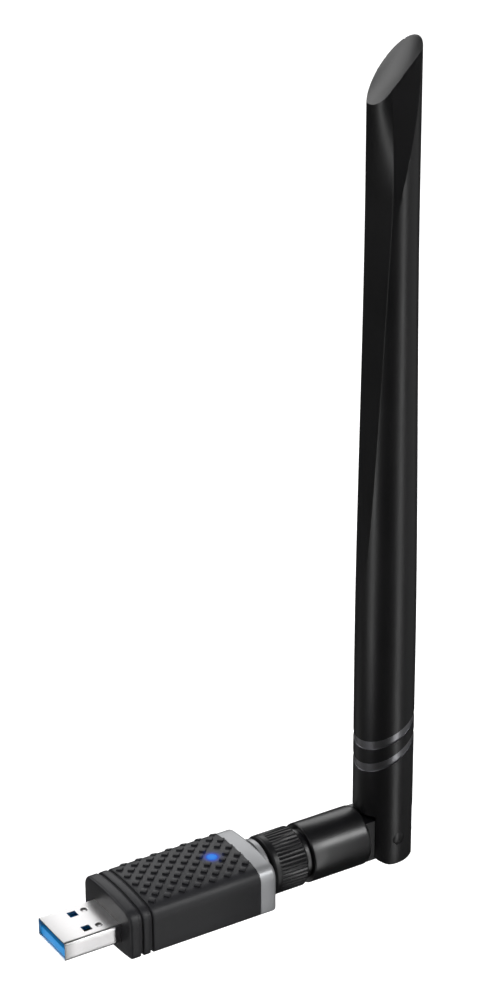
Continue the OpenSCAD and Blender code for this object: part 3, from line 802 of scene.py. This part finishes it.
slice_rod(rod_l, tip_angle, True)
bands = ((21.7, math.radians(29)), (26.85, math.radians(25.5)))
band_h = 2.1
band_depth = 0.28
for band, band_slope in bands:
    slice_rod(band - band_h / 2, band_slope)
    slice_rod(band + band_h / 2, band_slope)
bpy.ops.object.mode_set(mode="EDIT")
for band, band_slope in bands:
    bpy.ops.mesh.select_all(action="DESELECT")
    mesh = bmesh.from_edit_mesh(rod.data)
    for face in mesh.faces:
        middle = face.calc_center_median() / MM
        rise = middle.z - axis_z - (middle.x - hinge_x) * math.tan(band_slope)
        face.select_set(abs(rise - band) < band_h / 2 and abs(face.normal.z) < 0.5)
    bmesh.update_edit_mesh(rod.data)
    bpy.ops.mesh.extrude_region_shrink_fatten(TRANSFORM_OT_shrink_fatten={"value": -band_depth * MM})
bpy.ops.object.mode_set(mode="OBJECT")
heel = stock("block", "heel", (hinge_x, 0, axis_z - 10), (30, 30, 20))
cut(heel, stock("rod", "heel_round", (hinge_x, 0, axis_z), (rod_r, 40), (math.pi / 2, 0, 0), 128))
cut(heel, stock("block", "heel_square", (hinge_x + 10, 0, axis_z - rod_r / 2), (20, 40, rod_r)))
cut(rod, heel)
slot_w, slot_top, slot_deep = 9.2, 6.1, 20
slot_middle = axis_z + (slot_top - slot_deep) / 2
cut(rod, stock("block", "fork_slot", (hinge_x, 0, slot_middle), (30, slot_w, slot_deep + slot_top)))
head_r, head_t, pin_play = 1.37, 0.9, 0.03
for y in (-1, 1):
    cut(rod, stock("rod", "pin_hole", (hinge_x, y * rod_r, axis_z), (head_r + pin_play, 2 * head_t),
                   (math.pi / 2, 0, 0)))
cut(rod, stock("rod", "cable_hole", (hinge_x, 0, axis_z + 8), (0.95, 8), sides=32))
soften(rod, 0.1, 2, 35)
rod_black = finish("antenna_black", (0.0025, 0.0025, 0.003), 0.38, grain=0.1, grain_size=0.14, patch_size=12,
                   level=0.9)


def line_grooves(material, colour):
    """The grooves' floors carry a satin silver foil: skin that lies deeper than the rod's own."""
    nodes = material.node_tree.nodes
    links = material.node_tree.links
    shader = nodes["Principled BSDF"]
    place = nodes.new("ShaderNodeTexCoord")
    across = nodes.new("ShaderNodeVectorMath")
    across.operation = "MULTIPLY"
    across.inputs[1].default_value = (1, 1, 0)
    radius = nodes.new("ShaderNodeVectorMath")
    radius.operation = "DISTANCE"
    radius.inputs[1].default_value = (hinge_x * MM, 0, 0)
    deep = nodes.new("ShaderNodeMath")
    deep.operation = "LESS_THAN"
    deep.inputs[1].default_value = (rod_r - band_depth / 2) * MM
    parts = nodes.new("ShaderNodeSeparateXYZ")
    beside = nodes.new("ShaderNodeMath")
    beside.operation = "COMPARE"
    beside.inputs[1].default_value = (axis_z + (bands[0][0] + bands[1][0]) / 2) * MM
    beside.inputs[2].default_value = 9 * MM
    foil = nodes.new("ShaderNodeMath")
    foil.operation = "MULTIPLY"
    tint = nodes.new("ShaderNodeMix")
    tint.data_type = "RGBA"
    tint.inputs["B"].default_value = (*colour, 1)
    plastic = shader.inputs["Base Color"].links[0].from_socket
    links.new(place.outputs["Object"], across.inputs[0])
    links.new(across.outputs["Vector"], radius.inputs[0])
    links.new(radius.outputs["Value"], deep.inputs[0])
    links.new(place.outputs["Object"], parts.inputs["Vector"])
    links.new(parts.outputs["Z"], beside.inputs[0])
    links.new(deep.outputs["Value"], foil.inputs[0])
    links.new(beside.outputs["Value"], foil.inputs[1])
    links.new(foil.outputs["Value"], tint.inputs["Factor"])
    links.new(plastic, tint.inputs["A"])
    links.new(tint.outputs["Result"], shader.inputs["Base Color"])
    links.new(foil.outputs["Value"], shader.inputs["Metallic"])


line_grooves(rod_black, (0.42, 0.42, 0.44))
done(rod, "antenna", rod_black, ["antenna_sleeve"], smooth=20)

# The hinge pins: two short black rivets pressed into the fork's cheeks from outside, their
# heads moulded to the rod's round so that only a fine circle shows.
pin_black = finish("pin_black", (0.0025, 0.0025, 0.003), 0.38, grain=0.1, grain_size=0.1, level=0.9)
shank_r = 1.24
pin_inner_y = 3.3
across_y = (math.pi / 2, 0, 0)
hinge = (hinge_x, 0, axis_z)
head_gap = 2 * (rod_r - head_t)
fork_pins = stock("rod", "fork_pins", hinge, (rod_r - pin_play, 8), sides=128)
cut(fork_pins, stock("rod", "pin_heads", hinge, (head_r, 20), across_y), "INTERSECT")
cut(fork_pins, stock("block", "pin_middle", hinge, (8, head_gap, 8)))
cut(fork_pins, stock("rod", "shanks", hinge, (shank_r, head_gap + 0.4), across_y), "UNION")
cut(fork_pins, stock("block", "pin_ends", hinge, (8, 2 * pin_inner_y, 8)))
soften(fork_pins, 0.05)
done(fork_pins, "antenna", pin_black, ["hinge_pins"])

# The cable's bend: a thin brown coaxial lead that crosses the hinge in the tongue's slot.
bend_low, bend_high = span("coax_bend")
coax_r = (bend_high[1] - bend_low[1]) / 2
bend_r = 2.4
bend_top = bend_high[2] - axis_z
coax_sides = 20


def coax_point(station, number):
    centre, lean = station
    a = 2 * math.pi * number / coax_sides
    out = Vector((-math.sin(lean), 0, math.cos(lean))) * math.cos(a) + Vector((0, math.sin(a), 0))
    return (Vector((hinge_x, 0, axis_z)) + centre + out * coax_r) * MM


coax_stations = [(Vector((-bend_r - 1.4, 0, 0)), 0), (Vector((-bend_r - 0.7, 0, 0)), 0)]
for a in quarter_turns(12):
    coax_stations.append((Vector((-bend_r + bend_r * math.sin(a), 0, bend_r * (1 - math.cos(a)))), a))
coax_stations += [(Vector((0, 0, bend_r + (bend_top - bend_r) * n / 4)), math.pi / 2) for n in range(1, 5)]
coax_brown = finish("coax_brown", (0.16, 0.09, 0.05), 0.3, grain=0.05, patches=0.1, patch_size=1.0)
coax_lead = skin("coax_lead", coax_sides, coax_stations, coax_point)
apply_all(coax_lead)
bpy.ops.object.shade_smooth_by_angle(angle=math.radians(40))
coax_lead.data.materials.append(coax_brown)
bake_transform(coax_lead)
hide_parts("coax_bend")

# The inside: the board with its chips under a tinned can, the contacts, the jack's and
# the plug's insulators, and the dipole in the rod. The housings hide them all.
board_green = finish("board_green", (0.01, 0.10, 0.04), 0.35, grain=0.2, grain_size=0.6, patches=0.15,
                     patch_size=1.5)
chip_black = finish("chip_black", (0.015, 0.015, 0.016), 0.5, grain=0.2, grain_size=0.1)
can_tin = finish("can_tin", (0.62, 0.63, 0.64), 0.32, metal=1.0, grain=0.1, stretch=(0.2, 1, 1))
ferrite = finish("ferrite", (0.06, 0.06, 0.065), 0.6, grain=0.3, grain_size=0.1)
ceramic = finish("ceramic", (0.40, 0.27, 0.16), 0.45, patches=0.1, patch_size=0.5)
led_white = finish("led_white", (0.70, 0.80, 0.95), 0.3, patches=0.03, patch_size=0.5)
contact_gold = finish("gold_contact", (0.85, 0.62, 0.26), 0.2, metal=1.0, grain=0.05, patches=0.03)
ptfe_white = finish("ptfe_white", (0.85, 0.85, 0.82), 0.45, patches=0.02)
spring_steel = finish("spring_steel", (0.50, 0.50, 0.51), 0.3, metal=1.0, grain=0.1)
dipole_brass = finish("dipole_brass", (0.75, 0.53, 0.22), 0.32, metal=1.0, grain=0.1, stretch=(1, 1, 0.1))
wire_copper = finish("wire_copper", (0.72, 0.36, 0.18), 0.28, metal=1.0, grain=0.05)
spacer_white = finish("spacer_white", (0.78, 0.78, 0.75), 0.5, patches=0.03)


def carry(node, material):
    """A solid that is right as the frame holds it gets its finish and nothing else."""
    held = frame["nodes"][node].data.materials
    if not held:
        held.append(material)
    for number in range(len(held)):
        held[number] = material


inside = {
    "circuit_board": board_green, "wifi_chip": chip_black, "shield_can": can_tin, "crystal": can_tin,
    "voltage_regulator": chip_black, "power_inductor": ferrite, "board_capacitors": ceramic,
    "status_led": led_white, "usb2_contacts": contact_gold, "usb3_contacts": contact_gold,
    "rf_jack_insulator": ptfe_white, "rf_jack_pin": contact_gold, "plug_insulator": ptfe_white,
    "socket_contact": contact_gold, "retaining_ring": spring_steel, "coax_lower": coax_brown,
    "coax_upper": coax_brown, "dipole_sleeve": dipole_brass, "radiator_wire": wire_copper,
    "radiator_spacers": spacer_white,
}
for node, material in inside.items():
    carry(node, material)
